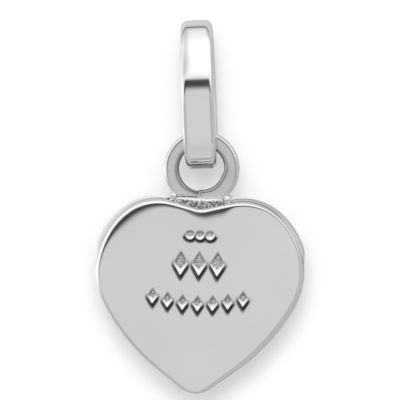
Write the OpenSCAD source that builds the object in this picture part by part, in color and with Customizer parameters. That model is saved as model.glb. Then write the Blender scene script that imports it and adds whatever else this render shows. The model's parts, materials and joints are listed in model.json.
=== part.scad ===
// Small silver heart pendant: a bent band bail, and a heart with its ring soldered on.
// The chain runs along X through the bail, and the flat back of the heart faces -Y.
// The origin is the inside of the bail's top, where the chain carries it. Millimetres.

/* [Bail] */
// Height of the bail over its outside
bail_h = 7.3; // [6.8:0.02:8]
// Width of the band where it is widest, just above the ring
bail_w = 1.58; // [1.54:0.02:1.8]
// Width of the band at the top
bail_top_w = 1.52; // [1.4:0.02:1.6]
// Width of the band at the lower bend
bail_foot_w = 1.54; // [1.5:0.02:1.7]
// Thickness of the band
bail_wall = 0.78; // [0.6:0.02:0.8]
// Outside radius of the lower bend, which carries the ring
bail_bend_r = 1.5; // [1.42:0.01:1.52]
// Lean of each leg outwards from the vertical, in degrees
bail_flare = 5; // [2:0.5:6]
// Height of the straight part of the legs above the ring's wire
bail_leg_h = 1.5; // [1:0.1:1.8]
// Outside radius of the long curves between the legs and the top
bail_side_r = 9; // [8:0.5:12]
// Rounding of the band's edges
bail_edge_r = 0.2; // [0.15:0.01:0.25]
// Depth of the seat that the ring has worn in the lower bend
seat_depth = 0.03; // [0.02:0.01:0.05]

/* [Ring] */
// Outside diameter of the ring
ring_od = 3.7; // [3.65:0.05:3.8]
// Width of the ring's wire, seen from the front
ring_wire = 0.74; // [0.64:0.01:0.74]
// Thickness of the ring, from back to front
ring_t = 0.6; // [0.5:0.01:0.64]
// Rounding of the wire's edges
ring_edge_r = 0.16; // [0.1:0.01:0.2]

/* [Solder] */
// Length of the solder between the ring and the heart
solder_l = 2.1; // [1.6:0.1:2.4]
// Radius of the solder bead
solder_r = 0.36; // [0.3:0.01:0.4]
// Depth of the bead's middle below the ring's middle
solder_drop = 1.66; // [1.6:0.01:1.7]

/* [Heart outline] */
// Distance of each lobe's middle from the heart's middle line
lobe_x = 2.1; // [2:0.05:2.3]
// Radius of the lobes' tops
lobe_r = 2.5; // [2.4:0.05:2.7]
// Radius of the upper sides
side_r = 3.6; // [3.5:0.05:4]
// Radius of the lower sides
lower_r = 9.6; // [9:0.1:10.5]
// Direction where the lobe's top passes into the side, in degrees above level
side_from = 55; // [50:1:60]
// Direction where the upper side passes into the lower side, in degrees below level
lower_from = 28; // [24:1:32]
// Slope of the straight run to the tip, in degrees
tip_slope = 37; // [34:1:42]
// Radius of the tip
tip_r = 1.2; // [1.15:0.05:1.5]
// Slope of the notch's sides, in degrees
notch_slope = 14; // [8:1:18]
// Radius in the bottom of the notch
notch_r = 1.2; // [0.8:0.1:1.6]
// Distance of the ring's middle above the lobes' middles
ring_rise = 4.06; // [3.95:0.01:4.1]
// Distance of the ring's middle from the heart's middle line, towards -X
ring_aside = 0.09; // [0:0.01:0.12]
// Turn of the heart in its own plane as it hangs, in degrees
heart_lean = 4.3; // [0:0.1:6]

/* [Heart section] */
// Distance of the flat back from the ring's middle plane, which hangs the heart plumb
back_y = 1.025; // [1:0.005:1.1]
// Thickness of the back body, down to the rim
body_t = 1.05; // [0.9:0.05:1.2]
// Rounding between the flat back and the side wall
shoulder_r = 0.3; // [0.2:0.02:0.4]
// Step of the rim beyond the back body
rim_step = 0.2; // [0.1:0.02:0.25]
// Part of that step that is left low on the sides, where the rim is worn back
rim_low_share = 0.25; // [0.2:0.05:1]
// Thickness of the rim
rim_t = 0.5; // [0.4:0.05:0.6]
// Rounding of the rim's edges
rim_edge_r = 0.1; // [0.05:0.01:0.15]
// Height of the cushioned front above the rim
front_h = 0.55; // [0.4:0.05:0.7]
// Width of the curved border of the front
front_border = 1.1; // [0.9:0.05:1.1]

/* [Punched ornament] */
// Depth of the punch marks in the flat back
punch_depth = 0.08; // [0.06:0.01:0.2]
// Radius of the round marks
dot_r = 0.22; // [0.14:0.01:0.23]
// Spacing of the round marks
dot_pitch = 0.49; // [0.47:0.01:0.55]
// Width and height of the three large lozenges
lozenge_w = 0.72; // [0.5:0.01:0.76]
lozenge_h = 1.2; // [0.8:0.05:1.25]
// Spacing of the large lozenges
lozenge_pitch = 0.9; // [0.8:0.02:1]
// Number of small lozenges in the lower row
small_count = 7; // [5:2:7]
// Width and height of the small lozenges
small_w = 0.5; // [0.4:0.01:0.6]
small_h = 0.78; // [0.5:0.02:0.9]
// Spacing of the small lozenges
small_pitch = 0.74; // [0.66:0.01:0.8]
// Rise of the lower row's ends above its middle
small_sweep = 0.3; // [0:0.05:0.4]
// Heights of the three rows above the lobes' middles
row_z = [0.8, -0.6, -2.55]; // [-3:0.05:1]

/* [Hidden] */
$fn = 96;
silver = [0.82, 0.82, 0.83];

// Fineness of the swept shapes: degrees from one station to the next, and steps in a rounded edge
turn_step = 7;
edge_steps = 4;
front_steps = 6;

// Heights between which the rim's step shrinks, above and below the lobes' middles
rim_full_z = 0.35;
rim_low_z = -0.6;

function polar(r, a) = [r * cos(a), r * sin(a)];

// Ring: the hinge line runs along X through the wire's middle at the ring's top
ring_r = ring_od / 2;
ring_mid_r = ring_r - ring_wire / 2;
hinge_z = bail_bend_r + bail_wall - bail_h;
ring_z = hinge_z - ring_mid_r;

// Bail profile in the YZ plane, measured from the hinge line. The band is widest at wide_z.
seat_r = bail_bend_r - bail_wall + seat_depth;
bail_top = bail_h - bail_bend_r;
wide_z = 0.7;
taper_power = 1.4;
leg_foot = polar(bail_bend_r, -bail_flare);
leg_len = (bail_leg_h - leg_foot[1]) / cos(bail_flare);
leg_head = leg_foot + leg_len * [sin(bail_flare), cos(bail_flare)];
side_mid = leg_head - polar(bail_side_r, -bail_flare);
side_top = bail_top - side_mid[1];
bail_top_r = (pow(bail_side_r, 2) - pow(side_mid[0], 2) - pow(side_top, 2))
    / (2 * (bail_side_r - side_top));
top_mid = [0, bail_top - bail_top_r];
top_from = atan2(top_mid[1] - side_mid[1], top_mid[0] - side_mid[0]);

// Heart outline: middles of its arcs, for the right half
lobe_mid = [lobe_x, 0];
side_arc_mid = lobe_mid + polar(lobe_r - side_r, side_from);
lower_arc_mid = side_arc_mid + polar(side_r - lower_r, -lower_from);
tip_dir = tip_slope - 90;
notch_dir = 90 + notch_slope;
tip_reach = lower_arc_mid * polar(1, tip_dir) + lower_r;
notch_reach = lobe_mid * polar(1, notch_dir) + lobe_r;
tip_mid = [0, (tip_reach - tip_r) / sin(tip_dir)];
notch_mid = [0, (notch_reach + notch_r) / sin(notch_dir)];

// Heart section: heights towards the back, from the ring's middle plane
rim_back = back_y - body_t;
rim_front = rim_back - rim_t;
front_face = rim_front - front_h;
rim_inset = rim_edge_r - rim_step;
border_inset = 0.05;
border_reach = front_border - border_inset;
border_r = (pow(border_reach, 2) + pow(front_h, 2)) / (2 * front_h);

// A station is a point of the outline: its arc's middle and radius, and the direction it faces.
// Arcs that follow one another leave out the point that they share.
function arc_stations(middle, radius, from, to, first = 0) =
    let (steps = ceil(abs(to - from) / turn_step))
        [for (i = [first:steps]) [middle, radius, from + (to - from) * i / steps]];

// The whole loop, from the right half that runs from the top's middle to the bottom's
function whole_loop(half) = concat(half, [
    for (i = [len(half) - 2:-1:1])
        [[-half[i][0][0], half[i][0][1]], half[i][1], 180 - half[i][2]]
]);

function station_point(station, inset) =
    station[0] + polar(station[1] - inset, station[2]);

// A quarter of a rounded edge, as insets and heights round a middle
function edge_arc(middle, radius, from, to) =
    [for (i = [0:edge_steps]) middle + polar(radius, from + (to - from) * i / edge_steps)];

bail_stations = whole_loop(concat(
    arc_stations(top_mid, bail_top_r, 90, top_from),
    arc_stations(side_mid, bail_side_r, top_from, -bail_flare, 1),
    arc_stations([0, 0], bail_bend_r, -bail_flare, -90)
));

bail_corner_w = bail_w / 2 - bail_edge_r;
bail_corner_t = bail_wall - bail_edge_r;
bail_section = concat(
    edge_arc([bail_edge_r, -bail_corner_w], bail_edge_r, -180, -90),
    edge_arc([bail_corner_t, -bail_corner_w], bail_edge_r, -90, 0),
    edge_arc([bail_corner_t, bail_corner_w], bail_edge_r, 0, 90),
    edge_arc([bail_edge_r, bail_corner_w], bail_edge_r, 90, 180)
);

heart_stations = whole_loop(concat(
    arc_stations(notch_mid, -notch_r, 90, notch_dir),
    arc_stations(lobe_mid, lobe_r, notch_dir, side_from),
    arc_stations(side_arc_mid, side_r, side_from, -lower_from, 1),
    arc_stations(lower_arc_mid, lower_r, -lower_from, tip_dir, 1),
    arc_stations(tip_mid, tip_r, tip_dir, -90)
));

// From the flat back over the shoulder, down the side wall, over the rim and up the front
heart_section = concat(
    edge_arc([shoulder_r, back_y - shoulder_r], shoulder_r, 90, 180),
    [[0, rim_back]],
    edge_arc([rim_inset, rim_back - rim_edge_r], rim_edge_r, 90, 180),
    edge_arc([rim_inset, rim_front + rim_edge_r], rim_edge_r, 180, 270),
    [for (i = [0:front_steps])
        let (reach = border_reach * (1 - i / front_steps))
            [front_border - reach, front_face + border_r - sqrt(pow(border_r, 2) - pow(reach, 2))]]
);

// Width of the bail's band at a height above the hinge line
function band_w(z) =
    z > wide_z
        ? bail_w + (bail_top_w - bail_w) * pow((z - wide_z) / (bail_top - wide_z), taper_power)
        : bail_w + (bail_foot_w - bail_w) * (wide_z - z) / (wide_z + bail_bend_r);

// One ring of points of the bail: y, z and x
function band_ring(station) = [
    for (p = bail_section)
        let (
            at = station_point(station, p[0]),
            outer = station_point(station, 0)
        )
            [at[0], at[1], p[1] + sign(p[1]) * (band_w(outer[1]) - bail_w) / 2]
];

// Part of the rim's step at a height
function rim_share(z) =
    let (t = max(0, min(1, (z - rim_low_z) / (rim_full_z - rim_low_z))))
        rim_low_share + (1 - rim_low_share) * t * t * (3 - 2 * t);

// One ring of points of the heart: x, z and height. Only the rim's points have insets below 0.
function heart_ring(station) = [
    for (p = heart_section)
        let (
            share = p[0] < 0 ? rim_share(station_point(station, 0)[1]) : 1,
            at = station_point(station, p[0] * share)
        )
            [at[0], at[1], p[1]]
];

// A solid through rings of points that go round a loop clockwise.
// Where the section is open, the loop's two faces are flat.
module loop_solid(rings, closed) {
    n = len(rings);
    m = len(rings[0]);
    quads = [
        for (i = [0:n - 1], j = [0:m - (closed ? 1 : 2)])
            let (a = i * m, b = (i + 1) % n * m, k = (j + 1) % m)
                [a + j, a + k, b + k, b + j]
    ];
    triangles = [for (q = quads, half = [[0, 1, 2], [0, 2, 3]]) [for (k = half) q[k]]];
    back = [for (i = [0:n - 1]) i * m];
    front = [for (i = [n - 1:-1:0]) i * m + m - 1];
    polyhedron(
        points = [for (ring = rings, p = ring) p],
        faces = closed ? triangles : concat(triangles, [back, front])
    );
}

module bail() {
    color(silver)
        translate([0, 0, hinge_z])
            difference() {
                rotate([90, 0, 90])
                    loop_solid([for (s = bail_stations) band_ring(s)], true);
                rotate([0, 90, 0]) cylinder(h = 2 * bail_w, r = seat_r, center = true);
            }
}

module lozenge(wide, high) {
    polygon([[wide / 2, 0], [0, high / 2], [-wide / 2, 0], [0, -high / 2]]);
}

// The rows of punch marks, seen flat: dots, large lozenges and a curved row of small ones
module punch_marks() {
    for (i = [-1:1]) {
        translate([i * dot_pitch, row_z[0]]) circle(r = dot_r);
        translate([i * lozenge_pitch, row_z[1]]) lozenge(lozenge_w, lozenge_h);
    }
    half_count = (small_count - 1) / 2;
    for (i = [-half_count:half_count])
        translate([i * small_pitch, row_z[2] + small_sweep * pow(i / half_count, 2)])
            lozenge(small_w, small_h);
}

module heart_body() {
    difference() {
        loop_solid([for (s = heart_stations) heart_ring(s)], false);
        translate([0, 0, back_y - punch_depth])
            linear_extrude(2 * punch_depth) punch_marks();
    }
}

// The ring's section has a flat back and front and rounded edges
module ring_section() {
    half_t = ring_t / 2;
    translate([ring_r - ring_wire, ring_edge_r - half_t])
        square([ring_wire, ring_t - 2 * ring_edge_r]);
    translate([ring_r - ring_wire + ring_edge_r, -half_t])
        square([ring_wire - 2 * ring_edge_r, ring_t]);
    for (x = [ring_r - ring_wire + ring_edge_r, ring_r - ring_edge_r])
        for (y = [ring_edge_r - half_t, half_t - ring_edge_r])
            translate([x, y]) circle(r = ring_edge_r);
}

module ring() {
    rotate_extrude() ring_section();
}

module solder() {
    translate([-solder_l / 2, -solder_drop, 0])
        rotate([0, 90, 0]) cylinder(h = solder_l, r = solder_r);
}

// The heart and its ring are drawn flat round the ring's middle, then stood up and turned
module heart_with_ring() {
    color(silver)
        translate([0, 0, ring_z])
            rotate([0, heart_lean, 0])
                rotate([90, 0, 0]) {
                    ring();
                    solder();
                    translate([ring_aside, -ring_rise, 0]) heart_body();
                }
}

bail();
heart_with_ring();
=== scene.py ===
import json

import bpy
import numpy as np
from mathutils import Matrix, Vector


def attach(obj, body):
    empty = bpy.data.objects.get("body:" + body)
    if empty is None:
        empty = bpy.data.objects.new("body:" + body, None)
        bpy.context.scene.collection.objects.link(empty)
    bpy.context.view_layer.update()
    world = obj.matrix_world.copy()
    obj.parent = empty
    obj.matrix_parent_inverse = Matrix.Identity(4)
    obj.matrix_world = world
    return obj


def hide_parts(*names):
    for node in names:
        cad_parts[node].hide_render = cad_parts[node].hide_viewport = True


# A small silver heart pendant that hangs from its band bail, seen from the flat back.
# Lengths in the settings are millimetres and angles are degrees. Meshes are made in metres.
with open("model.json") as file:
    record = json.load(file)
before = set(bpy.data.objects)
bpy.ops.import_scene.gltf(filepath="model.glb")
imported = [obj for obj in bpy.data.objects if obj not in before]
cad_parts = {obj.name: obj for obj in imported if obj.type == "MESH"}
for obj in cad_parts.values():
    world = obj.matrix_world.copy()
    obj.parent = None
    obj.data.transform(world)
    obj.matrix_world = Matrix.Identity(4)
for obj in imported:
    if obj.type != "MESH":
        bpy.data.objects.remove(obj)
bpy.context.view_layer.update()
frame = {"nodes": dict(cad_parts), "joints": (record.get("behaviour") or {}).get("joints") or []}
perMetre = 1000
hingeLine = np.array(frame["joints"][0]["pos_m"]) * perMetre
print("frame loaded with", ", ".join(sorted(frame["nodes"])))


# Shapes

def facing(degrees):
    # unit vector of an angle: (cos a, sin a)
    angle = np.radians(degrees)
    return np.stack([np.cos(angle), np.sin(angle)], axis=-1)


def ease(low, high, x):
    # 0 below low, 1 above high, and 3t^2 - 2t^3 between them
    t = np.clip((x - low) / (high - low), 0, 1)
    return t * t * (3 - 2 * t)


def bell(x, middle, reach):
    # exp(-((x - middle) / reach)^2), which is 1 at the middle
    return np.exp(-((x - middle) / reach) ** 2)


def drawOutline(arcs, steps=200):
    # An arc (middle, radius, start, end) lies at middle + radius * (cos a, sin a) and faces a.
    # The arcs of the right half are mirrored for the left. Returns the closed line's places, its
    # facing angles and the length walked along it.
    share = np.linspace(0, 1, steps)
    places, turns = [], []
    for middle, radius, start, end in arcs:
        turns.append(start + (end - start) * share)
        places.append(np.add(middle, radius * facing(turns[-1])))
    right, turn = np.concatenate(places), np.concatenate(turns)
    place = np.concatenate([right, right[::-1] * [-1, 1]])
    turn = np.concatenate([turn, -180 - turn[::-1]])
    walked = np.append(0, np.cumsum(np.linalg.norm(np.diff(place, axis=0), axis=1)))
    return place, turn, walked


def pickStations(outline, at):
    # places and facing angles of an outline at the lengths given
    place, turn, walked = outline
    x, y = (np.interp(at, walked, place[:, axis]) for axis in (0, 1))
    return np.stack([x, y], axis=1), np.interp(at, walked, turn)


def softCorner(steps, share, slope, fineSteps=2000):
    # A quarter turn from (1, 0) to (0, 1). Its facing angle grows to the slope as t^2 over the
    # first share of its length, evenly over the middle, and mirrored over the last share. The
    # places are the running sums of (-sin a, cos a).
    s = np.linspace(0, 1, fineSteps)
    rising = slope * np.clip(s / share, 0, 1) ** 2
    falling = slope * np.clip((1 - s) / share, 0, 1) ** 2
    even = np.clip((s - share) / (1 - 2 * share), 0, 1)
    turn = rising + (90 - 2 * slope) * even + slope - falling
    walked = np.cumsum(facing(turn), axis=0)
    walked = (walked - walked[0]) / (walked[-1] - walked[0])
    pick = np.linspace(0, len(s) - 1, steps).astype(int)
    return 1 - walked[pick, 1], walked[pick, 0]


def barSection(halfU, halfV, edge, corner, flatSteps):
    # Closed section of a bar with soft edges, one row for each station: every corner lies at
    # (halfU - edge, halfV - edge) + edge * corner, and straight steps join the corners.
    sizes = np.broadcast_arrays(halfU, halfV, edge)
    halfU, halfV, edge = (np.reshape(value, (-1, 1)) for value in sizes)
    a, b = corner
    corners = []
    for signU, signV, toU, toV in ((1, 1, a, b), (-1, 1, b, a), (-1, -1, a, b), (1, -1, b, a)):
        corners.append((signU * (halfU - edge + edge * toU), signV * (halfV - edge + edge * toV)))
    flat = np.linspace(0, 1, flatSteps + 2)[1:-1]
    parts = [[], []]
    for corner, following in zip(corners, corners[1:] + corners[:1]):
        for axis in (0, 1):
            last, first = corner[axis][:, -1:], following[axis][:, :1]
            parts[axis] += [corner[axis], last + (first - last) * flat]
    return np.hstack(parts[0]), np.hstack(parts[1])


def gridFaces(index):
    # four corners of every cell of a grid of point numbers
    corners = [index[:-1, :-1], index[:-1, 1:], index[1:, 1:], index[1:, :-1]]
    return np.stack(corners, axis=-1).reshape(-1, 4)


def closed(index, axis):
    # the grid with its first row or column repeated at the end
    return np.concatenate([index, np.take(index, [0], axis=axis)], axis=axis)


def fanFaces(ring, pole):
    # triangles from a closed ring of point numbers to one point
    return np.stack([ring, np.roll(ring, -1), np.full_like(ring, pole)], axis=1)


def makePiece(name, places, faceSets, marks):
    # Puts points in millimetres and faces of three or four corners into a mesh. The enclosed
    # volume, the sum of a . (b x c) / 6 over fans of triangles, is made positive, so that the
    # faces point outwards.
    volume = 0
    for faces in faceSets:
        first = places[faces[:, 0]]
        for k in range(1, faces.shape[1] - 1):
            volume += np.sum(first * np.cross(places[faces[:, k]], places[faces[:, k + 1]]))
    if volume < 0:
        faceSets = [faces[:, ::-1] for faces in faceSets]
    sizes = np.concatenate([np.full(len(faces), faces.shape[1]) for faces in faceSets])
    corners = np.concatenate([faces.ravel() for faces in faceSets])
    mesh = bpy.data.meshes.new(name)
    mesh.vertices.add(len(places))
    mesh.loops.add(len(corners))
    mesh.polygons.add(len(sizes))
    mesh.vertices.foreach_set("co", (places / perMetre).astype(np.float32).ravel())
    mesh.loops.foreach_set("vertex_index", corners.astype(np.int32))
    mesh.polygons.foreach_set("loop_start", (np.cumsum(sizes) - sizes).astype(np.int32))
    mesh.polygons.foreach_set("use_smooth", np.ones(len(sizes), dtype=bool))
    mesh.update(calc_edges=True)
    for markName, values in marks.items():
        layer = mesh.attributes.new(markName, "FLOAT", "POINT")
        layer.data.foreach_set("value", np.broadcast_to(values, len(places)).astype(np.float32))
    piece = bpy.data.objects.new(name, mesh)
    bpy.context.scene.collection.objects.link(piece)
    return piece


def hangOn(piece, body, node, material):
    # gives a piece its finish, the body it rides on and the CAD node that it stands for
    piece.data.materials.append(material)
    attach(piece, body)
    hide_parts(node)
    print("made", piece.name, "with", len(piece.data.polygons), "faces")


# Materials

class Wire:
    # a node's output that takes Python's operators: each adds one Math node
    def __init__(self, book, socket):
        self.book = book
        self.socket = socket

    def maths(self, operation, first, second):
        return self.book.add("ShaderNodeMath", {"operation": operation}, {0: first, 1: second})

    def __add__(self, other):
        return self.maths("ADD", self, other)

    def __radd__(self, other):
        return self.maths("ADD", other, self)

    def __sub__(self, other):
        return self.maths("SUBTRACT", self, other)

    def __rsub__(self, other):
        return self.maths("SUBTRACT", other, self)

    def __mul__(self, other):
        return self.maths("MULTIPLY", self, other)

    def __rmul__(self, other):
        return self.maths("MULTIPLY", other, self)

    def __truediv__(self, other):
        return self.maths("DIVIDE", self, other)

    def __rtruediv__(self, other):
        return self.maths("DIVIDE", other, self)


class NodeBook:
    # the node tree of a material or of the world
    def __init__(self, owner):
        owner.use_nodes = True
        self.tree = owner.node_tree
        self.tree.nodes.clear()

    def add(self, kind, settings=None, sockets=None, output=0):
        # settings are set first; "stops" are a ramp's places and colours
        node = self.tree.nodes.new(kind)
        for name, value in (settings or {}).items():
            if name == "stops":
                self.setStops(node.color_ramp, value)
            else:
                setattr(node, name, value)
        for name, value in (sockets or {}).items():
            if isinstance(value, Wire):
                self.tree.links.new(value.socket, node.inputs[name])
            else:
                node.inputs[name].default_value = value
        return Wire(self, node.outputs[output]) if node.outputs else node

    def setStops(self, ramp, stops):
        # grey stops of a colour ramp, from pairs of place and level
        while len(ramp.elements) < len(stops):
            ramp.elements.new(1)
        for element, (place, level) in zip(ramp.elements, stops):
            element.position = place
            element.color = (level, level, level, 1)


def silverFinish(name, look):
    # Polished silver: streaks from the buffing wheel, cloudy waves in the surface, fine pits and
    # hairlines. The "worn" mark is 1 where a surface was struck or melted, which is rougher,
    # duller and grainy. The second mark darkens towards the dark colour: it is 1 deep in seams,
    # which stay dark, and it also carries painted shade, such as the bail's dark strip, the dark
    # lines of the punch marks and the ring's dark hole edge.
    material = bpy.data.materials.new(name)
    book = NodeBook(material)
    place = book.add("ShaderNodeTexCoord", output=3)
    worn = book.add("ShaderNodeAttribute", {"attribute_name": "worn"}, output=2)
    tarnish = book.add("ShaderNodeAttribute", {"attribute_name": "tarnish"}, output=2)

    def noise(scale, detail, stretch=(1, 1, 1)):
        at = book.add("ShaderNodeMapping", {"vector_type": "POINT"}, {
            "Vector": place, "Scale": stretch})
        return book.add("ShaderNodeTexNoise", {}, {"Vector": at, "Scale": scale, "Detail": detail})

    def ramp(value, low, high, atLow, atHigh):
        return book.add("ShaderNodeMapRange", {"clamp": True}, {
            "Value": value, "From Min": low, "From Max": high, "To Min": atLow, "To Max": atHigh})

    def tint(factor, a, b):
        return book.add("ShaderNodeMix", {"data_type": "RGBA"}, {
            "Factor": factor, "A": a, "B": b}, output=2)

    clouds = noise(look["cloudScale"], 2)
    streaks = noise(look["streakScale"], 3, look["streakStretch"])
    pits = noise(look["pitScale"], 2)
    grain = noise(look["grainScale"], 4)
    polished = tint(ramp(clouds, *look["cloudRange"], 0, 1), look["shade"], look["silver"])
    dulled = tint(worn * look["wornTint"], polished, look["wornSilver"])
    specks = ramp(grain, *look["speckRange"], look["specks"], 0)
    # seams and painted shade both darken towards the dark colour here
    colour = tint(tarnish * look["tarnishTint"] + worn * specks, dulled, look["tarnish"])
    roughness = (
        look["roughness"]
        + (streaks - 0.5) * look["streakRoughness"]
        + worn * look["wornRoughness"]
    )
    height = (
        (clouds - 0.5) * look["cloudHeight"]
        + (streaks - 0.5) * look["streakHeight"]
        + (pits - 0.5) * look["pitHeight"]
        + (grain - 0.5) * worn * look["grainHeight"]
    )
    bump = book.add("ShaderNodeBump", {}, {
        "Strength": 1, "Distance": 1 / perMetre, "Height": height})
    surface = book.add("ShaderNodeBsdfPrincipled", {}, {
        "Base Color": colour, "Metallic": 1, "Roughness": roughness, "Normal": bump})
    book.add("ShaderNodeOutputMaterial", {}, {"Surface": surface})
    return material


polish = {
    "silver": (0.95, 0.95, 0.952, 1),
    "shade": (0.915, 0.915, 0.92, 1),
    "wornSilver": (0.72, 0.72, 0.73, 1),
    "wornTint": 0.8,
    # the dark colour of seams, which also paints shade
    "tarnish": (0.16, 0.155, 0.15, 1),
    "tarnishTint": 0.9,
    "specks": 0.5,
    "speckRange": (0.45, 0.55),
    "roughness": 0.06,
    "wornRoughness": 0.14,
    "streakRoughness": 0.04,
    "cloudScale": 260,
    "cloudRange": (0.3, 0.7),
    "cloudHeight": 0.0012,
    "streakScale": 900,
    "streakStretch": (1, 1, 9),
    "streakHeight": 0.0002,
    "pitScale": 9000,
    "pitHeight": 0.00012,
    "grainScale": 14000,
    "grainHeight": 0.03,
}
bailSilver = silverFinish("bailSilver", {
    **polish, "roughness": 0.035, "streakRoughness": 0.02, "streakStretch": (9, 9, 1)})
# the heart's dark colour is near black: it paints the rim's dark seam and the punch marks' painted
# shade
heartSilver = silverFinish("heartSilver", {
    **polish, "streakStretch": (1.2, 1, 8), "tarnish": (0.03, 0.029, 0.028, 1), "tarnishTint": 1})
# The ring's silver is rougher than the rest, and its colour is set darker as painted shade,
# standing in for the darker reflection of its face.
ringSilver = silverFinish("ringSilver", {
    **polish, "roughness": 0.1, "silver": (0.91, 0.91, 0.92, 1), "shade": (0.8, 0.8, 0.81, 1)})
solderSilver = silverFinish("solderSilver", {
    **polish, "wornSilver": (0.52, 0.52, 0.53, 1), "grainScale": 8500, "grainHeight": 0.06,
    "specks": 1})
dropSilver = silverFinish("dropSilver", {
    **polish, "wornSilver": (0.93, 0.93, 0.93, 1), "wornRoughness": 0.4, "grainScale": 8000})
print("finishes made")


# Bail

bail = {
    "height": 7.3,
    "bendRadius": 1.5,
    "wall": 0.78,
    "flare": 5,
    "legHeight": 1.5,
    "sideRadius": 9,
    "wideWidth": 1.58,
    "topWidth": 1.52,
    "footWidth": 1.54,
    "wideAt": 0.7,
    "taperPower": 1.4,
    # the edges' radii, and how a corner is drawn: steps, share and slope of its soft ends
    "edge": 0.26,
    "corner": (26, 0.34, 7),
    "bendEdge": 0.32,
    "bendCorner": (26, 0.02, 0),
    # heights over which the edges get rounder
    "topBend": (4.5, 5.5),
    "footBend": (-0.5, -1.3),
    # the outer face's crown, below and above these heights
    "lowCrown": 0.001,
    "highCrown": 0.022,
    "crownGrows": (2.9, 3.9),
    # painted shade: a darker strip near the left edge above the middle, standing in for a darker
    # reflection there
    "hazeStrength": 0.42,
    "hazeInset": 0.25,
    "hazeReach": 0.15,
    "hazeFrom": (2.9, 3.3),
    "hazeTo": (5.6, 5.2),
    "flatSteps": 8,
    "stations": 420,
}


def bailArcs(look):
    # The bend, leg, side and top in the YZ plane, from the hinge line. The top's radius is the one
    # that touches both the side's arc and the bail's height, which lies t above that arc's middle
    # and y aside of it: r = (R^2 - y^2 - t^2) / (2 (R - t)).
    top = look["height"] - look["bendRadius"]
    foot = look["bendRadius"] * facing(-look["flare"])
    legLength = (look["legHeight"] - foot[1]) / np.cos(np.radians(look["flare"]))
    head = foot + legLength * facing(90 - look["flare"])
    sideMiddle = head - look["sideRadius"] * facing(-look["flare"])
    above = top - sideMiddle[1]
    side = look["sideRadius"]
    topRadius = (side ** 2 - sideMiddle[0] ** 2 - above ** 2) / (2 * (side - above))
    topMiddle = np.array([0, top - topRadius])
    apart = topMiddle - sideMiddle
    meets = np.degrees(np.arctan2(apart[1], apart[0]))
    return [
        (topMiddle, topRadius, 90, meets),
        (sideMiddle, side, meets, -look["flare"]),
        (np.zeros(2), look["bendRadius"], -look["flare"], -90),
    ]


def makeBail(look):
    # A rounded bar carried round the outline: place = outline - (wall / 2 - u) * facing, x = v.
    # The band narrows from its widest height w to the top as ((z - w) / (top - w))^power and
    # evenly to the foot. Its outer face is crowned by (2 v / width)^2 and its edges are rounder
    # in both bends.
    line = drawOutline(bailArcs(look))
    stations = np.linspace(0, line[2][-1], look["stations"], endpoint=False)
    outline, turn = pickStations(line, stations)
    z = outline[:, 1]
    top = look["height"] - look["bendRadius"]
    above = np.clip((z - look["wideAt"]) / (top - look["wideAt"]), 0, 1) ** look["taperPower"]
    below = np.clip((look["wideAt"] - z) / (look["wideAt"] + look["bendRadius"]), 0, 1)
    width = look["wideWidth"] + (look["topWidth"] - look["wideWidth"]) * above
    width += (look["footWidth"] - look["wideWidth"]) * below
    inBend = np.maximum(ease(*look["topBend"], z), ease(*look["footBend"], z))
    half = look["wall"] / 2, width / 2
    corner, bendCorner = softCorner(*look["corner"]), softCorner(*look["bendCorner"])
    crisp = barSection(*half, look["edge"], corner, look["flatSteps"])
    rounded = barSection(*half, look["bendEdge"], bendCorner, look["flatSteps"])
    u, v = (a + (b - a) * inBend[:, None] for a, b in zip(crisp, rounded))
    width, z = width[:, None], z[:, None]
    crown = look["lowCrown"] + (look["highCrown"] - look["lowCrown"]) * ease(*look["crownGrows"], z)
    u = u - crown * (2 * v / width) ** 2 * (u > 0)
    inward = look["wall"] / 2 - u
    out = facing(turn)
    places = np.stack([
        v,
        outline[:, :1] - inward * out[:, :1],
        hingeLine[2] + z - inward * out[:, 1:],
    ], axis=-1)
    # painted shade: the strip near the left edge is darkened towards the dark colour, as a painted
    # reflection
    leftPaintedShade = bell(v + width / 2, look["hazeInset"], look["hazeReach"])
    leftPaintedShade = look["hazeStrength"] * (leftPaintedShade * ease(*look["hazeFrom"], z) * ease(*look["hazeTo"], z))
    index = np.arange(u.size).reshape(u.shape)
    faces = gridFaces(closed(closed(index, 0), 1))
    marks = {"worn": 0, "tarnish": leftPaintedShade.ravel()}
    return makePiece("bailBand", places.reshape(-1, 3), [faces], marks)


hangOn(makeBail(bail), "bail", "bail", bailSilver)


# Heart

ring = {
    "outerRadius": 1.85,
    "wire": 0.74,
    "thickness": 0.6,
    "edge": 0.22,
    "edgeShare": 0.8,  # the most of the half width that the edges take
    "corner": (24, 0.28, 6),
    "crown": 0.002,
    "leftFloor": 1.34,
    "rightFloor": 1.47,
    # where the wire's ends meet, and how that seam is pinched and worn
    "seamAngle": -96,
    "seamWidth": 1.6,
    "seamDepth": 0.06,
    "seamWear": 0.35,
    "seamWearReach": 9,
    # the wire's wider end, right of the seam
    "footInset": 0.07,
    "footFade": (6, -24),
    "footProud": 0.003,
    # painted shade round the hole, a painted dark reflection, and its reach on the right as a share
    # of that on the left
    "grime": 0.95,
    "grimeReach": 0.18,
    "grimeRight": 0.8,
    "grimeSides": (0.3, -0.5),
    "flatSteps": 6,
    "stations": 480,
}
hang = {
    "rise": 4.06,
    "aside": 0.09,
    "lean": 4.3,
}
ringMiddle = hingeLine[2] - (ring["outerRadius"] - ring["wire"] / 2)


def hangPlace(x, height, z):
    # Turns a place given from the ring's middle by the lean, in the heart's plane:
    # (x cos a + z sin a, -height, z cos a - x sin a).
    tilt = np.radians(hang["lean"])
    x, height, z = np.broadcast_arrays(x, height, z)
    return np.stack([
        x * np.cos(tilt) + z * np.sin(tilt),
        -height,
        ringMiddle - x * np.sin(tilt) + z * np.cos(tilt),
    ], axis=-1)


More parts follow.
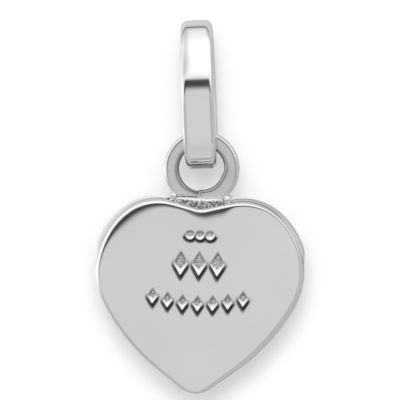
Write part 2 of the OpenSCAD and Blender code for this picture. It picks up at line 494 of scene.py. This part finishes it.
heart = {
    "lobeX": 2.1,
    "lobeRadius": 2.5,
    "sideRadius": 3.6,
    "lowerRadius": 9.6,
    "sideFrom": 55,
    "lowerFrom": -28,
    "tipFacing": -53,
    "tipRadius": 1.2,
    "notchFacing": 104,
    "notchRadius": 1.2,
    "back": 1.025,
    "bodyThickness": 1.05,
    "rimStep": 0.2,
    "rimThickness": 0.5,
    "rimEdge": 0.04,
    # the dark seam at the rim: its place, reach and strength, and its share low on the sides
    "seamOut": 0.015,
    "seamReach": 0.045,
    "seamStrength": 0.72,
    "lowSeam": 0.15,
    "seamGrows": (1.2, 2.4),
    "frontHeight": 0.55,
    "frontBorder": 1.1,
    "borderInset": 0.05,
    "frontPole": (0, -1.2),
    # the roll-off of the flat back: width, and the slope at its outer end
    "rollWidth": 0.06,
    "rollSlope": 3.9,
    "shoulderRadius": 0.1,
    # places where the buffing wheel cut deeper: x, z, reach, wider roll-off, rounder shoulder
    "buffed": [
        (-3.7, 1.6, 1.6, 0.56, 0.12),
        (-3.0, 2.3, 0.8, 0.06, 0.02),
        (-2.0, 2.5, 1.2, 0.18, 0.09),
        (-4.6, 0.0, 1.4, 0.0, 0.14),
        (0.2, 2.1, 0.6, 0.45, 0.01),
        (0.93, 2.3, 0.47, 0.41, 0.01),
        (-0.3, 2.1, 1.0, 0.14, 0.07),
        (2.0, 2.5, 1.4, 0.07, 0.09),
        (3.6, -4.2, 2.6, 0.02, 0.08),
        (-3.6, -4.2, 2.4, 0.0, 0.04),
    ],
    # low on the sides this part of the rim's step is left, from the second height down to the first
    "rimLowShare": 0.25,
    "rimFade": (-0.6, 0.35),
    # on the upper left the rim's ledge slopes outwards
    "ledgeSlope": 0.09,
    "slopeGrows": (-1.35, -1.9),
    # rows down the wall and along the ledge, as shares, with the ledge's rounded foot
    "wallRows": (0.4, 0.8, 0.95, 1),
    "wallFoot": 0.01,
    "ledgeRows": ((0.02, 0.003), (0.06, 0), (0.2, 0), (0.4, 0), (0.7, 0)),
    "rollRows": 16,
    "shoulderRows": 22,
    "shoulderSpread": 1.3,
    "edgeRows": 7,
    "frontRows": 22,
    # rings from the marks' field to the roll-off, and over the middle of the front
    "flatRings": 10,
    "frontRings": 12,
}
punches = {
    "depth": 0.078,
    "dotRadius": 0.22,
    "dotPitch": 0.49,
    "lozenge": (0.72, 1.2),
    "lozengePitch": 0.9,
    "smallLozenge": (0.5, 0.78),
    "smallPitch": 0.74,
    "smallCount": 7,
    "smallSweep": 0.3,
    "rows": (0.8, -0.6, -2.55),
    # widths of the upper and lower walls of a mark, the heights between them as shares of its
    # half height, the straight part of a wall's slope, where on the wall the rough floor begins,
    # and the dished metal below it
    "upperWall": 0.06,
    "lowerWall": 0.21,
    "wallGrows": (0.5, -0.6),
    "straight": 0.75,
    "floorFrom": 0.5,
    "dishDepth": 0.009,
    "dishReach": 0.12,
    # painted shade lines: strength, place and reach, for the shaded upper walls, the floor's dark
    # border and the dark line under the lower lip
    "upperLine": (0.45, 0.4, 0.5),
    "borderLine": (0.34, 0, 0.025),
    "lipLine": (1, 0.045, 0.05),
    # the finely meshed field of the flat back that holds the marks
    "fieldLow": (-2.75, -3.3),
    "fieldHigh": (2.75, 1.2),
    "fieldCells": (184, 136),
}


def heartArcs(look):
    # Each next arc's middle lies on the line through the last one's end: m + (r1 - r2) * facing.
    # The notch's and the tip's middles are where their facing lines meet the middle line.
    lobe = np.array([look["lobeX"], 0])
    side = lobe + (look["lobeRadius"] - look["sideRadius"]) * facing(look["sideFrom"])
    lower = side + (look["sideRadius"] - look["lowerRadius"]) * facing(look["lowerFrom"])
    notchAway, tipAway = facing(look["notchFacing"]), facing(look["tipFacing"])
    notchZ = (lobe @ notchAway + look["lobeRadius"] + look["notchRadius"]) / notchAway[1]
    tipZ = (lower @ tipAway + look["lowerRadius"] - look["tipRadius"]) / tipAway[1]
    return [
        (np.array([0, notchZ]), -look["notchRadius"], 90, look["notchFacing"]),
        (lobe, look["lobeRadius"], look["notchFacing"], look["sideFrom"]),
        (side, look["sideRadius"], look["sideFrom"], look["lowerFrom"]),
        (lower, look["lowerRadius"], look["lowerFrom"], look["tipFacing"]),
        (np.array([0, tipZ]), look["tipRadius"], look["tipFacing"], -90),
    ]


def heartSection(look, outline):
    # Rows of insets and heights for every station, from the flat back over the roll-off,
    # shoulder, wall and rim to the cushioned front, and the seam's darkness. The roll-off's slope
    # grows to m as t^2, so that it drops by w * m * t^3 / 3 over its width w. The shoulder is an
    # arc: radius * (1 - sin a), radius * cos a. The front is an arc too: d - sqrt(d^2 - r^2).
    roll = np.full(len(outline), look["rollWidth"])
    radius = np.full(len(outline), look["shoulderRadius"])
    for x, z, reach, moreRoll, moreRadius in look["buffed"]:
        near = np.exp(-((outline[:, 0] - x) ** 2 + (outline[:, 1] - z) ** 2) / reach ** 2)
        roll = roll + moreRoll * near
        radius = radius + moreRadius * near
    slope = np.radians(look["rollSlope"])
    inset = roll + radius * (1 - np.sin(slope))
    rows = []
    for t in np.linspace(0, 1, look["rollRows"]):
        rows.append((inset - roll * t, look["back"] - roll * np.tan(slope) * t ** 3 / 3))
    centre = rows[-1][1] - radius * np.cos(slope)
    for t in np.linspace(0, 1, look["shoulderRows"])[1:]:
        turned = look["rollSlope"] + (90 - look["rollSlope"]) * t ** look["shoulderSpread"]
        rise, run = facing(turned)
        rows.append((radius * (1 - run), centre + radius * rise))
    rimBack = look["back"] - look["bodyThickness"]
    rimFront = rimBack - look["rimThickness"]
    corner = look["rimEdge"]
    share = look["rimLowShare"] + (1 - look["rimLowShare"]) * ease(*look["rimFade"], outline[:, 1])
    outer = corner - look["rimStep"] * share
    fall = -outer * look["ledgeSlope"] * ease(*look["slopeGrows"], outline[:, 0])
    wallFoot = rimBack + look["wallFoot"]
    rows += [(0, centre + (wallFoot - centre) * t) for t in look["wallRows"]]
    rows += [(t * outer, rimBack - t * fall + rise) for t, rise in look["ledgeRows"]]
    for c, s in facing(np.linspace(90, 0, look["edgeRows"])):
        rows.append((outer - corner * c, rimBack - fall - corner * (1 - s)))
    for c, s in facing(np.linspace(0, -90, look["edgeRows"])):
        rows.append((outer - corner * c, rimFront + corner * (1 + s)))
    front = rimFront - look["frontHeight"]
    reach = look["frontBorder"] - look["borderInset"]
    dome = (reach ** 2 + look["frontHeight"] ** 2) / (2 * look["frontHeight"])
    for r in reach * np.linspace(1, 0, look["frontRows"]):
        rows.append((look["frontBorder"] - r, front + dome - np.sqrt(dome ** 2 - r ** 2)))
    spread = [np.broadcast_arrays(a, b, outline[:, 0])[:2] for a, b in rows]
    inset, height = np.array(spread).transpose(1, 0, 2)
    fromSeam = np.hypot(inset + look["seamOut"], height - rimBack)
    seam = look["seamStrength"] * bell(fromSeam, 0, look["seamReach"])
    upper = ease(*look["seamGrows"], outline[:, 1])
    return inset, height, seam * (look["lowSeam"] + (1 - look["lowSeam"]) * upper)


def punchMarks(look):
    # middles, half widths, half heights and roundness of all the marks
    dotRow, largeRow, smallRow = look["rows"]
    marks = []
    for i in (-1, 0, 1):
        marks.append((i * look["dotPitch"], dotRow, look["dotRadius"], look["dotRadius"], True))
        marks.append((i * look["lozengePitch"], largeRow, *np.divide(look["lozenge"], 2), False))
    half = look["smallCount"] // 2
    for i in range(-half, half + 1):
        rise = look["smallSweep"] * (i / half) ** 2
        a, b = np.divide(look["smallLozenge"], 2)
        marks.append((i * look["smallPitch"], smallRow + rise, a, b, False))
    return marks


def punchRelief(look, x, z):
    # The distance d from a mark's edge is r - R for a dot and
    # (|x|/a + |z|/b - 1) * ab / sqrt(a^2 + b^2) for a lozenge. The depth grows from the edge to
    # the floor, over a wall that is wider low in the mark, and the metal below it is dished by
    # exp(-(d / reach)^2). Returns the depth, the floor's mask and painted shade: dark lines on
    # the upper walls, round the floor's border and under the lower lip, each a bell of the
    # distance, standing in for the shade of the walls and edges.
    depth, floor, paintedMarkShade = np.zeros((3, *x.shape))
    lines = [look["upperLine"], look["borderLine"], look["lipLine"]]
    for middleX, middleZ, a, b, isDot in punchMarks(look):
        dx, dz = x - middleX, z - middleZ
        if isDot:
            away = np.hypot(dx, dz) - a
        else:
            away = (np.abs(dx) / a + np.abs(dz) / b - 1) * a * b / np.hypot(a, b)
        lowness = ease(*np.multiply(look["wallGrows"], b), dz)
        wall = look["upperWall"] + (look["lowerWall"] - look["upperWall"]) * lowness
        inside = -away / wall
        straight = look["straight"] * np.clip(inside, 0, 1)
        own = look["depth"] * (straight + (1 - look["straight"]) * ease(0, 1, inside))
        dish = look["dishDepth"] * lowness * bell(np.maximum(away, 0), 0, look["dishReach"])
        depth = np.maximum(depth, own + dish)
        floor = np.maximum(floor, ease(look["floorFrom"], 1, inside))
        shares, distances = (1 - lowness, 1, lowness), (inside, away + wall, away)
        for share, distance, (strength, at, reach) in zip(shares, distances, lines):
            paintedMarkShade = np.maximum(paintedMarkShade, strength * share * bell(distance, at, reach))
    return depth, floor, paintedMarkShade


def fieldBorder(columns, rows):
    # row and column numbers round the field's border, clockwise from the middle of its top
    half = columns // 2
    right, down = np.arange(half, columns + 1), np.arange(1, rows + 1)
    back, up = np.arange(columns - 1, -1, -1), np.arange(rows - 1, -1, -1)
    column = [right, np.full(rows, columns), back, np.zeros(rows, int), np.arange(1, half)]
    row = [0 * right, down, np.full(columns, rows), up, np.zeros(half - 1, int)]
    return np.concatenate(row), np.concatenate(column)


def makeHeart(look, marks):
    # One closed surface: the field with the punch marks, flat rings that pass from its border to
    # the heart's outline, the section carried round the outline, and rings that close the front.
    # A ring's place is outline - inset * facing, and between two rings a and b it is
    # a + (b - a) * t. The stations' innermost points lie in the same directions from the field's
    # middle as the points of its border.
    columns, rows = marks["fieldCells"]
    fieldX = np.linspace(marks["fieldLow"][0], marks["fieldHigh"][0], columns + 1)
    fieldZ = np.linspace(marks["fieldHigh"][1], marks["fieldLow"][1], rows + 1)
    x, z = np.meshgrid(fieldX, fieldZ)
    depth, floor, paintedMarkShade = punchRelief(marks, x, z)
    borderRow, borderColumn = fieldBorder(columns, rows)
    border = np.stack([x[borderRow, borderColumn], z[borderRow, borderColumn]], axis=1)
    middle = np.array([0, (fieldZ[0] + fieldZ[-1]) / 2])
    line = drawOutline(heartArcs(look))
    innermost = line[0] - heartSection(look, line[0])[0][0][:, None] * facing(line[1])
    innerWay, borderWay = (
        np.unwrap(np.arctan2(*(part - middle).T)) for part in (innermost, border))
    outline, turn = pickStations(line, np.interp(borderWay, innerWay, line[2]))
    inset, height, seam = heartSection(look, outline)
    band = outline - inset[..., None] * facing(turn)
    passing = np.linspace(0, 1, look["flatRings"] + 2)[1:-1, None, None]
    flatRings = border + (band[0] - border) * passing
    shrink = np.linspace(1, 0, look["frontRings"] + 2)[1:-1, None, None]
    pole = np.array(look["frontPole"])
    frontRings = pole + (band[-1] - pole) * shrink
    front = height[-1, 0]
    rings = np.concatenate([flatRings, band, frontRings])
    flatHeight = np.full(flatRings.shape[:2], look["back"])
    ringHeight = np.concatenate([flatHeight, height, np.full(frontRings.shape[:2], front)])
    flat = np.concatenate([np.stack([x, z], axis=-1).reshape(-1, 2), rings.reshape(-1, 2), [pole]])
    heights = np.concatenate([(look["back"] - depth).ravel(), ringHeight.ravel(), [front]])
    places = hangPlace(flat[:, 0] + hang["aside"], heights, flat[:, 1] - hang["rise"])
    field = np.arange(x.size).reshape(x.shape)
    ringIndex = x.size + np.arange(ringHeight.size).reshape(ringHeight.shape)
    loops = np.vstack([field[borderRow, borderColumn], ringIndex])
    faceSets = [
        gridFaces(field)[:, ::-1],
        gridFaces(closed(loops, 1)),
        fanFaces(ringIndex[-1], len(places) - 1),
    ]
    worn, tarnish = np.zeros((2, len(places)))
    worn[:x.size] = floor.ravel()
    # painted shade: the punch marks' dark lines go into the dark mark, together with the rim's dark
    # seam
    tarnish[:x.size] = paintedMarkShade.ravel()
    tarnish[x.size + flatHeight.size:][:seam.size] = seam.ravel()
    return makePiece("heartBody", places, faceSets, {"worn": worn, "tarnish": tarnish})


hangOn(makeHeart(heart, punches), "heart", "heart_with_ring", heartSilver)


# Ring

def makeRing(look):
    # A rounded bar carried round the ring's middle: (r cos a, r sin a). Low down, the outer
    # radius is cut by a level floor, floor / -sin a, which is lower right of the seam, where the
    # wire's end is also wider and stands a little proud. At the seam the bar is pinched. Painted
    # shade darkens the hole's edge, as a painted dark reflection, and reaches further on the left.
    angle = look["seamAngle"] + np.linspace(0, 360, look["stations"], endpoint=False)
    place = facing(angle)
    seam = look["seamAngle"]
    rightEnd = ease(0, look["seamWidth"], angle - seam) * ease(*look["footFade"], angle)
    floor = np.where(angle < 90, look["rightFloor"], look["leftFloor"])
    low = np.maximum(-place[:, 1], 1e-6)  # never zero
    outer = np.minimum(look["outerRadius"], floor / low)
    inner = look["outerRadius"] - look["wire"] - look["footInset"] * rightEnd
    fromSeam = np.abs((angle - seam + 180) % 360 - 180)
    pinch = look["seamDepth"] * bell(fromSeam, 0, look["seamWidth"])
    halfU = (outer - inner) / 2
    halfV = look["thickness"] / 2 + look["footProud"] * rightEnd - pinch
    edge = np.minimum(look["edge"], look["edgeShare"] * halfU)
    u, v = barSection(halfU, halfV, edge, softCorner(*look["corner"]), look["flatSteps"])
    v = v - np.sign(v) * look["crown"] * (u / halfU[:, None]) ** 2
    radius = (outer + inner)[:, None] / 2 + u
    places = hangPlace(radius * place[:, :1], v, radius * place[:, 1:])
    index = np.arange(u.size).reshape(u.shape)
    faces = gridFaces(closed(closed(index, 0), 1))
    worn = np.repeat(look["seamWear"] * bell(fromSeam, 0, look["seamWearReach"]), u.shape[1])
    # painted shade: the hole's edge is darkened as a painted dark reflection, further on the left
    left = ease(*look["grimeSides"], place[:, :1])
    reach = look["grimeReach"] * (look["grimeRight"] + (1 - look["grimeRight"]) * left)
    grime = look["grime"] * bell(radius, inner[:, None], reach)
    marks = {"worn": worn, "tarnish": grime.ravel()}
    return makePiece("ringWire", places.reshape(-1, 3), [faces], marks)


hangOn(makeRing(ring), "heart", "heart_with_ring", ringSilver)


# Solder

solder = {
    "left": -1.32,
    "right": 1.24,
    "top": -1.37,
    "bottomMiddle": -2.08,
    "bottomRise": 0.24,
    "risePower": 1.6,
    "halfDepth": 0.34,
    "squareness": 0.4,
    "endPower": 8,
    # lumps: height, the share and scale of two sizes, and their share on the upper half
    "lumps": 0.03,
    "lumpSizes": ((0.6, 9), (0.5, 23)),
    "lumpsAbove": 0.35,
    "lumpsGrow": (0.6, -0.2),
    "grime": 1,
    "grimeGrows": (0.82, 0.95),
    # the rough part fades out towards the bead's ends from this share of its half length
    "wornTo": 0.76,
    "wornGrows": (0.38, 0.2),
    "leastWorn": 0.12,
    "stations": 240,
    "around": 90,
}
drops = {
    **solder,
    "bottomRise": 0,
    "halfDepth": 0.3,
    "lumps": 0.05,
    "grime": 0,
    "wornTo": 0.9,
    "stations": 60,
    "around": 60,
}
# left and right end, top and bottom of each drop
dropPlaces = {
    "leftDrop": (-1.54, -1.14, -1.2, -1.7),
    "rightDrop": (1.14, 1.53, -1.24, -1.74),
}


def lumpy(x, y, z, scale):
    # sum of three sine waves in skew directions, between about -1 and 1
    a = np.sin(scale * (1.7 * x + 0.9 * y + 1.3 * z) + 0.4)
    b = np.sin(scale * (-1.1 * x + 2.3 * y + 1.9 * z) + 2.1)
    c = np.sin(scale * (2.9 * x - 1.4 * y - 2.2 * z) + 4.0)
    return (a + b + c) / 3


def makeSolder(name, look):
    # A flattened bead along x whose section (c |c|^-q, s |s|^-q) fills the gap between the ring's
    # floor and the notch: half height = (top - bottom) / 2, and both half sizes shrink as
    # sqrt(1 - t^p) to the ends. Lumps of two sizes, which are stronger low down, push it out.
    # It is darker along its top.
    t = np.linspace(-1, 1, look["stations"])[1:-1, None]
    x = (look["left"] + look["right"]) / 2 + t * (look["right"] - look["left"]) / 2
    bottom = look["bottomMiddle"] + look["bottomRise"] * np.abs(x) ** look["risePower"]
    close = np.sqrt(1 - t ** look["endPower"])
    # one degree on, because a negative power of zero is infinite
    around = facing(np.linspace(0, 360, look["around"], endpoint=False) + 1)
    around = around * np.abs(around) ** -look["squareness"]
    halfHeight = (look["top"] - bottom) / 2 * close
    middle = (look["top"] + bottom) / 2
    z = middle + halfHeight * around[:, 1]
    y = look["halfDepth"] * close * around[:, 0]
    lumps = sum(share * lumpy(x, y, z, scale) for share, scale in look["lumpSizes"])
    low = ease(*look["lumpsGrow"], around[:, 1])
    push = look["lumps"] * close * lumps * (look["lumpsAbove"] + (1 - look["lumpsAbove"]) * low)
    places = hangPlace(x, y + push * around[:, 0], z + push * around[:, 1])
    index = np.arange(places[..., 0].size).reshape(places.shape[:2])
    poles = hangPlace(np.array([look["left"], look["right"]]), 0, middle[[0, -1], 0])
    allPlaces = np.concatenate([places.reshape(-1, 3), poles])
    faceSets = [
        gridFaces(closed(index, 1)),
        fanFaces(index[0], index.size)[:, ::-1],
        fanFaces(index[-1], index.size + 1),
    ]
    least = look["leastWorn"]
    rough = ease(*look["wornGrows"], around[:, 1]) * ease(1, look["wornTo"], np.abs(t))
    worn = np.append((least + (1 - least) * rough).ravel(), [least, least])
    # darker along the top of the bead, towards the dark colour
    grime = look["grime"] * ease(*look["grimeGrows"], around[:, 1])
    grime = np.append(np.tile(grime, len(x)), [0, 0])
    return makePiece(name, allPlaces, faceSets, {"worn": worn, "tarnish": grime})


hangOn(makeSolder("solderBead", solder), "heart", "heart_with_ring", solderSilver)
for dropName, place in dropPlaces.items():
    drop = {**drops, **dict(zip(("left", "right", "top", "bottomMiddle"), place))}
    hangOn(makeSolder(dropName, drop), "heart", "heart_with_ring", dropSilver)


# Camera

shot = {
    "azimuth": 2.8,
    "elevation": -0.5,
    "roll": 2.1,
    "distance": 450,
    "sensor": 36,
    # the picture is 400 pixels wide and shows the ring's middle at this pixel
    "pixels": 400,
    "pixelsPerMillimetre": 20.4,
    "ringPixel": (201.8, 168.6),
    "clip": (10, 5000),
}


def towards(azimuth, elevation):
    # unit vector of a direction in degrees: (sin a cos e, -cos a cos e, sin e)
    a, e = np.radians([azimuth, elevation])
    return np.array([np.sin(a) * np.cos(e), -np.cos(a) * np.cos(e), np.sin(e)])


def placeCamera(look):
    # Looks at the object from azimuth and elevation, rolled about its own axis, and aims so that
    # the ring's middle lands on its pixel:
    # aim = ring + right * (200 - px) / scale + up * (py - 200) / scale.
    away = Vector(towards(look["azimuth"], look["elevation"]))
    roll = Matrix.Rotation(-np.radians(look["roll"]), 3, "Z")
    turn = away.to_track_quat("Z", "Y").to_matrix() @ roll
    half = look["pixels"] / 2
    sideways = (half - look["ringPixel"][0]) / look["pixelsPerMillimetre"]
    upwards = (look["ringPixel"][1] - half) / look["pixelsPerMillimetre"]
    aim = Vector((0, 0, ringMiddle)) + turn @ Vector((sideways, upwards, 0))
    shownWidth = look["pixels"] / look["pixelsPerMillimetre"]
    camera = bpy.data.objects.new("camera", bpy.data.cameras.new("camera"))
    camera.data.sensor_width = look["sensor"]
    camera.data.lens = look["sensor"] * look["distance"] / shownWidth
    camera.matrix_world = turn.to_4x4()
    camera.location = (aim + away * look["distance"]) / perMetre
    near, far = look["clip"]
    camera.data.clip_start, camera.data.clip_end = near / perMetre, far / perMetre
    bpy.context.scene.collection.objects.link(camera)
    bpy.context.scene.camera = camera


placeCamera(shot)


# Light and stage

tent = {
    # where the flat back mirrors the tent, by azimuth and elevation
    "middle": (-2.8, 0.5),
    # Brightness by the angle from that middle, for eight directions: 90 is upwards, 0 to the right
    # and 180 to the left.
    "sectors": {
        0: [
            (0, 0.67), (0.8, 0.71), (2, 0.66), (3.5, 0.3), (4.5, 0.16), (7.5, 0.16), (9, 0.62),
            (30, 0.62), (60, 0.56), (90, 0.54), (110, 0.5), (130, 0.52), (180, 0.56)],
        180: [
            (0, 0.67), (0.8, 0.65), (1.8, 0.62), (3.5, 0.4), (4.5, 0.2), (9.5, 0.2), (12, 0.8),
            (16, 1), (40, 1.1), (130, 1.1), (165, 0.64), (180, 0.56)],
        90: [
            (0, 0.67), (1.2, 0.65), (2.5, 0.4), (3.9, 0.11), (4.6, 0.06), (7, 0.065), (7.8, 0.2),
            (8.8, 0.72), (10.5, 0.95), (14, 1.15), (28, 1.15), (36, 0.98), (53, 0.93), (73, 0.86),
            (84, 0.72), (90, 0.5), (93, 0.22), (98, 0.22), (102, 0.56), (120, 0.68), (150, 0.62),
            (180, 0.56)],
        45: [
            (0, 0.67), (0.8, 0.69), (1.8, 0.6), (3.5, 0.2), (4.5, 0.12), (7.5, 0.12), (9, 0.75),
            (12, 0.92), (28, 1.1), (46, 1), (66, 0.62), (88, 0.56), (93, 0.22), (98, 0.22),
            (103, 0.6), (120, 0.66), (150, 0.62), (180, 0.56)],
        135: [
            (0, 0.67), (0.8, 0.63), (1.2, 0.59), (2.5, 0.36), (3.9, 0.11), (4.8, 0.045),
            (7.5, 0.05), (8.4, 0.5), (9.5, 0.8), (22, 0.8), (30, 1.1), (46, 1), (80, 0.8),
            (92, 0.4), (99, 0.4), (110, 0.78), (150, 0.66), (180, 0.56)],
        -90: [
            (0, 0.67), (8, 0.68), (40, 0.6), (78, 0.64), (84, 0.42), (101, 0.38), (105, 0.95),
            (114, 0.9), (119, 0.26), (131, 0.3), (136, 0.1), (152, 0.12), (166, 0.5), (180, 0.56)],
        -45: [
            (0, 0.67), (0.8, 0.69), (3, 0.6), (8, 0.46), (20, 0.5), (35, 0.6), (50, 0.45),
            (90, 0.48), (180, 0.56)],
        -135: [(0, 0.67), (4, 0.6), (12, 0.48), (40, 0.46), (90, 0.5), (180, 0.56)],
    },
    "sectorCore": 15,
    "sectorReach": 45,
    "baseLevel": 0.62,
    "cameraLevel": 1,
    "softLevel": 0.53,
}
stage = {
    # half size, and distance behind the pendant, where the swinging heart doesn't reach it
    "card": (400, 14),
    "floor": -60,
    "level": 0.9,
    # the mottle's darker share and its scale
    "mottle": (0.99, 40),
    "roughness": 0.9,
}
keyLight = {
    "away": 400,
    "azimuth": 2.4,
    "elevation": 1.6,
    # size and watts of the discs: a small one for the shadow's core and a large one for its
    # soft border
    "discs": [(30, 0.4), (90, 0.51)],
}


def grey(level):
    return (level, level, level, 1)


def lightTent(look):
    # Brightness by direction: by the angle acos(d . ahead) from the tent's middle, blended over
    # the sectors by the direction across it, (d . right, d . up) / sin(angle). Only mirror
    # reflections see the tent in detail: what the camera sees behind the object, and what lights
    # the floor, is plain and pale.
    world = bpy.data.worlds.new("tent")
    bpy.context.scene.world = world
    book = NodeBook(world)
    direction = book.add("ShaderNodeTexCoord", output=0)
    ahead = towards(*look["middle"])
    right = np.append(facing(look["middle"][0]), 0)
    up = np.cross(right, -ahead)
    x, y, z = (
        book.add("ShaderNodeVectorMath", {"operation": "DOT_PRODUCT"},
                 {0: direction, 1: axis.tolist()}, output=1)
        for axis in (right, ahead, up)
    )
    away = book.add("ShaderNodeMath", {"operation": "ARCCOSINE"}, {0: y}) / np.pi
    across = book.add("ShaderNodeMath", {"operation": "SINE"}, {0: away * np.pi}) + 1e-5

    def blend(factor, a, b):
        return book.add("ShaderNodeMix", {"data_type": "RGBA"},
                        {"Factor": factor, "A": a, "B": b}, output=2)

    def rise(value, low, high):
        return book.add("ShaderNodeMapRange", {"interpolation_type": "SMOOTHSTEP"}, {
            "Value": value, "From Min": low, "From Max": high})

    levels = grey(look["baseLevel"])
    for sector, brightness in look["sectors"].items():
        stops = [(angle / 180, level) for angle, level in brightness]
        ramp = book.add("ShaderNodeValToRGB", {"stops": stops}, {"Fac": away})
        toX, toZ = facing(sector)
        along = (x * float(toX) + z * float(toZ)) / across
        core, reach = np.cos(np.radians([look["sectorCore"], look["sectorReach"]]))
        levels = blend(rise(along, float(reach), float(core)), levels, ramp)
    path = book.add("ShaderNodeLightPath")
    isCamera = Wire(book, path.socket.node.outputs["Is Camera Ray"])
    isDiffuse = Wire(book, path.socket.node.outputs["Is Diffuse Ray"])
    plain = blend(isDiffuse, levels, grey(look["softLevel"]))
    shown = blend(isCamera, plain, grey(look["cameraLevel"]))
    background = book.add("ShaderNodeBackground", {}, {"Color": shown, "Strength": 1})
    book.add("ShaderNodeOutputWorld", {}, {"Surface": background})


def softLight(look):
    # soft lamps in front, a little above the camera, which the silver doesn't mirror
    away = Vector(towards(look["azimuth"], look["elevation"]))
    for size, watts in look["discs"]:
        lamp = bpy.data.lights.new("softLight", "AREA")
        lamp.shape = "DISK"
        lamp.size = size / perMetre
        lamp.energy = watts
        light = bpy.data.objects.new("softLight", lamp)
        light.rotation_euler = away.to_track_quat("Z", "Y").to_euler()
        light.location = away * look["away"] / perMetre
        light.visible_glossy = False
        bpy.context.scene.collection.objects.link(light)


def plainSheet(name, corners, look):
    # a flat sheet of four corners in millimetres, matt and pale with a faint mottle
    mesh = bpy.data.meshes.new(name)
    mesh.from_pydata((np.array(corners) / perMetre).tolist(), [], [(0, 1, 2, 3)])
    sheet = bpy.data.objects.new(name, mesh)
    bpy.context.scene.collection.objects.link(sheet)
    material = bpy.data.materials.new(name)
    book = NodeBook(material)
    place = book.add("ShaderNodeTexCoord", output=3)
    darker, scale = look["mottle"]
    mottle = book.add("ShaderNodeTexNoise", {}, {"Vector": place, "Scale": scale})
    colour = book.add("ShaderNodeMix", {"data_type": "RGBA"}, {
        "Factor": mottle, "A": grey(look["level"]), "B": grey(look["level"] * darker)}, output=2)
    matt = book.add("ShaderNodeBsdfPrincipled", {}, {
        "Base Color": colour, "Roughness": look["roughness"], "Specular IOR Level": 0})
    clear = book.add("ShaderNodeBsdfTransparent")
    behind = book.add("ShaderNodeNewGeometry", output=6)
    surface = book.add("ShaderNodeMixShader", {}, {0: behind, 1: matt, 2: clear})
    book.add("ShaderNodeOutputMaterial", {}, {"Surface": surface})
    mesh.materials.append(material)
    sheet.visible_glossy = False
    return sheet


def makeStage(look):
    # a card behind the pendant and a floor far below it
    reach, behind = look["card"]
    floor = look["floor"]
    card = [
        (-reach, behind, floor), (reach, behind, floor),
        (reach, behind, reach), (-reach, behind, reach)]
    ground = [
        (-reach, -reach, floor), (reach, -reach, floor),
        (reach, reach, floor), (-reach, reach, floor)]
    plainSheet("backCard", card, look)
    plainSheet("floor", ground, look)


lightTent(tent)
softLight(keyLight)
makeStage(stage)
bpy.context.scene.view_settings.view_transform = "Standard"
print("camera, light and stage made")

bpy.context.view_layer.update()
